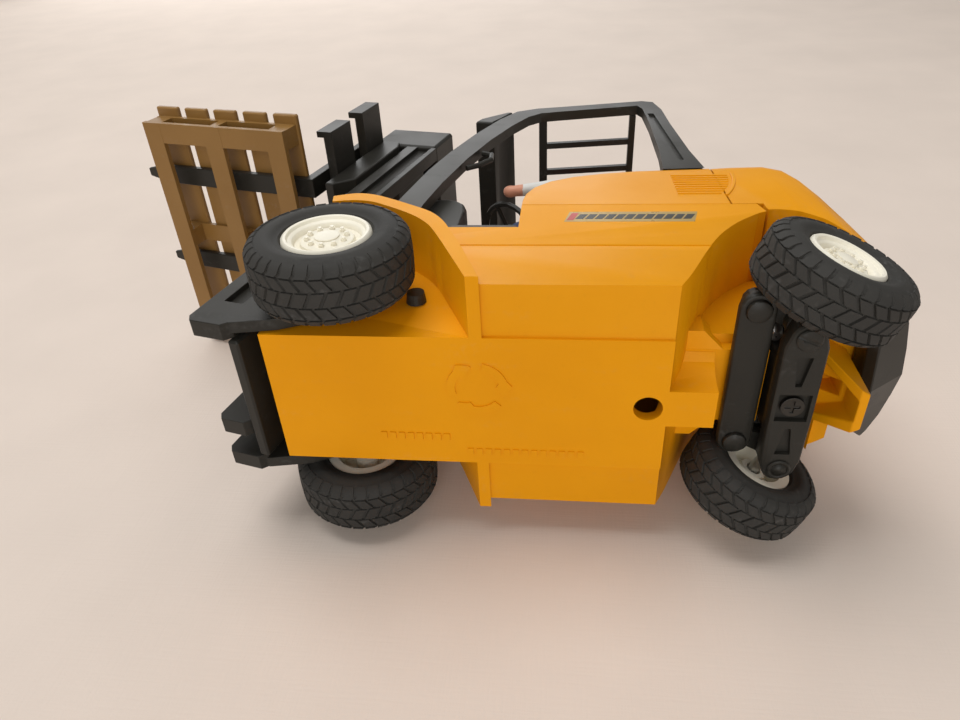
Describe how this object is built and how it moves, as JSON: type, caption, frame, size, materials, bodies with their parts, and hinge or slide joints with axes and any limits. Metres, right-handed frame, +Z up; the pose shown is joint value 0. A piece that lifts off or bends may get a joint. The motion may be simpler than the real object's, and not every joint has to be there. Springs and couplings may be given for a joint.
{
  "type": "toy forklift truck",
  "caption": "Toy counterbalance forklift with steered rear axle, tilting mast, sliding forks under a pallet, overhead guard and seated driver.",
  "frame": {"origin": "ground level under the middle of the toy's bounding box", "axes": "+X to the truck's left, +Y to its rear, +Z up; the forks point to -Y"},
  "size_m": [0.0776, 0.2014, 0.1368],
  "materials": {
    "amber_abs": "moulded amber ABS, satin gloss",
    "black_abs": "moulded black ABS, satin",
    "tyre_rubber": "soft black tyre rubber, dusty",
    "rim_white": "off-white moulded plastic",
    "pallet_brown": "plain brown moulded plastic",
    "dark_steel": "black oxide screw steel",
    "steel": "bright drawn steel",
    "seat_grey": "matt grey moulded plastic",
    "shirt_white": "matt off-white moulded plastic",
    "doll_skin": "matt salmon moulded plastic",
    "hat_red": "glossy red moulded plastic"
  },
  "bodies": {
    "chassis": {"chassis_shell": "amber_abs", "engine_hood": "amber_abs", "counterweight": "amber_abs", "tow_hitch": "amber_abs", "rear_bumper": "black_abs", "cab_floor": "black_abs", "dashboard": "black_abs", "seat": "seat_grey", "guard_frame_left": "black_abs", "guard_frame_right": "black_abs", "guard_roof": "black_abs", "guard_visor": "black_abs", "grab_handle": "black_abs", "chassis_peg_left": "black_abs", "chassis_peg_right": "black_abs", "steering_column": "black_abs", "front_axle": "steel", "rear_axle_beam": "black_abs", "beam_screw": "dark_steel", "kingpin_left": "black_abs", "kingpin_right": "black_abs", "driver_body": "shirt_white"},
    "front_wheel_left": {"front_tyre_left": "tyre_rubber", "front_rim_left": "rim_white"},
    "front_wheel_right": {"front_tyre_right": "tyre_rubber", "front_rim_right": "rim_white"},
    "knuckle_left": {"knuckle_left": "black_abs", "stub_axle_left": "steel"},
    "knuckle_right": {"knuckle_right": "black_abs", "stub_axle_right": "steel"},
    "rear_wheel_left": {"rear_tyre_left": "tyre_rubber", "rear_rim_left": "rim_white"},
    "rear_wheel_right": {"rear_tyre_right": "tyre_rubber", "rear_rim_right": "rim_white"},
    "steering_link": {"tie_rod": "black_abs", "tie_rod_pin_left": "black_abs", "tie_rod_pin_right": "black_abs"},
    "steering_wheel": {"steering_wheel": "black_abs"},
    "lever_1": {"lever_1": "black_abs"},
    "lever_2": {"lever_2": "black_abs"},
    "mast": {"mast_rail_left": "black_abs", "mast_rail_right": "black_abs", "latch_rail": "black_abs", "mast_foot": "black_abs", "mast_head": "black_abs"},
    "carriage": {"carriage_bar_lower": "black_abs", "carriage_bar_upper": "black_abs", "carriage_cheek_left": "black_abs", "carriage_cheek_right": "black_abs"},
    "fork_left": {"fork_left": "black_abs"},
    "fork_right": {"fork_right": "black_abs"},
    "pallet": {"pallet": "pallet_brown"},
    "driver_head": {"driver_head": "doll_skin", "hard_hat": "hat_red"},
    "driver_arm_left": {"driver_arm_left": "shirt_white"},
    "driver_arm_right": {"driver_arm_right": "shirt_white"}
  },
  "joints": [
    {"name": "front_spin_left", "type": "hinge", "parent": "chassis", "child": "front_wheel_left", "pos_m": [0.0283, -0.0184, 0.0169], "axis": [1, 0, 0], "continuous": true},
    {"name": "front_spin_right", "type": "hinge", "parent": "chassis", "child": "front_wheel_right", "pos_m": [-0.0283, -0.0184, 0.0169], "axis": [1, 0, 0], "continuous": true},
    {"name": "steer_left", "type": "hinge", "parent": "chassis", "child": "knuckle_left", "pos_m": [0.0165, 0.0754, 0.0149], "axis": [0, 0, 1], "range_deg": [-45, 0]},
    {"name": "rear_spin_left", "type": "hinge", "parent": "knuckle_left", "child": "rear_wheel_left", "pos_m": [0.02574, 0.07923, 0.0149], "axis": [0.9239, 0.3827, 0], "continuous": true},
    {"name": "steer_right", "type": "hinge", "parent": "chassis", "child": "knuckle_right", "pos_m": [-0.0165, 0.0754, 0.0149], "axis": [0, 0, 1], "range_deg": [-45, 0]},
    {"name": "rear_spin_right", "type": "hinge", "parent": "knuckle_right", "child": "rear_wheel_right", "pos_m": [-0.02574, 0.07157, 0.0149], "axis": [0.9239, 0.3827, 0], "continuous": true},
    {"name": "tie_rod_pivot", "type": "hinge", "parent": "knuckle_left", "child": "steering_link", "pos_m": [0.02021, 0.06644, 0.015], "axis": [0, 0, 1], "range_deg": [0, 45]},
    {"name": "steering_wheel_turn", "type": "hinge", "parent": "chassis", "child": "steering_wheel", "pos_m": [0, 0.0119, 0.091], "axis": [0, 0.5736, 0.8192], "continuous": true},
    {"name": "lever_1_tilt", "type": "hinge", "parent": "chassis", "child": "lever_1", "pos_m": [-0.015, -0.0011, 0.066], "axis": [1, 0, 0], "range_deg": [-10, 10]},
    {"name": "lever_2_tilt", "type": "hinge", "parent": "chassis", "child": "lever_2", "pos_m": [-0.019, -0.0011, 0.066], "axis": [1, 0, 0], "range_deg": [-10, 10]},
    {"name": "mast_tilt", "type": "hinge", "parent": "chassis", "child": "mast", "pos_m": [0, -0.0184, 0.0169], "axis": [1, 0, 0], "range_deg": [0, 13.5]},
    {"name": "carriage_lift", "type": "slide", "parent": "mast", "child": "carriage", "axis": [0, 0.2419, 0.9703], "range_m": [-0.064, 0]},
    {"name": "fork_slide_left", "type": "slide", "parent": "carriage", "child": "fork_left", "axis": [1, 0, 0], "range_m": [-0.0109, 0.0071]},
    {"name": "fork_slide_right", "type": "slide", "parent": "carriage", "child": "fork_right", "axis": [1, 0, 0], "range_m": [-0.016, 0.0023]},
    {"name": "pallet_slide", "type": "slide", "parent": "carriage", "child": "pallet", "axis": [0, -0.9703, 0.2419], "range_m": [0, 0.062]},
    {"name": "driver_neck_turn", "type": "hinge", "parent": "chassis", "child": "driver_head", "pos_m": [0, 0.0325, 0.1067], "axis": [0, 0, 1], "range_deg": [-60, 60]},
    {"name": "driver_shoulder_left", "type": "hinge", "parent": "chassis", "child": "driver_arm_left", "pos_m": [0.0109, 0.0313, 0.1004], "axis": [1, 0, 0], "range_deg": [-70, 0]},
    {"name": "driver_shoulder_right", "type": "hinge", "parent": "chassis", "child": "driver_arm_right", "pos_m": [-0.0109, 0.0313, 0.1004], "axis": [1, 0, 0], "range_deg": [-70, 0]}
  ],
  "couplings": [
    {"joint": "steer_right", "follows": "steer_left", "ratio": 1},
    {"joint": "tie_rod_pivot", "follows": "steer_left", "ratio": -1}
  ]
}
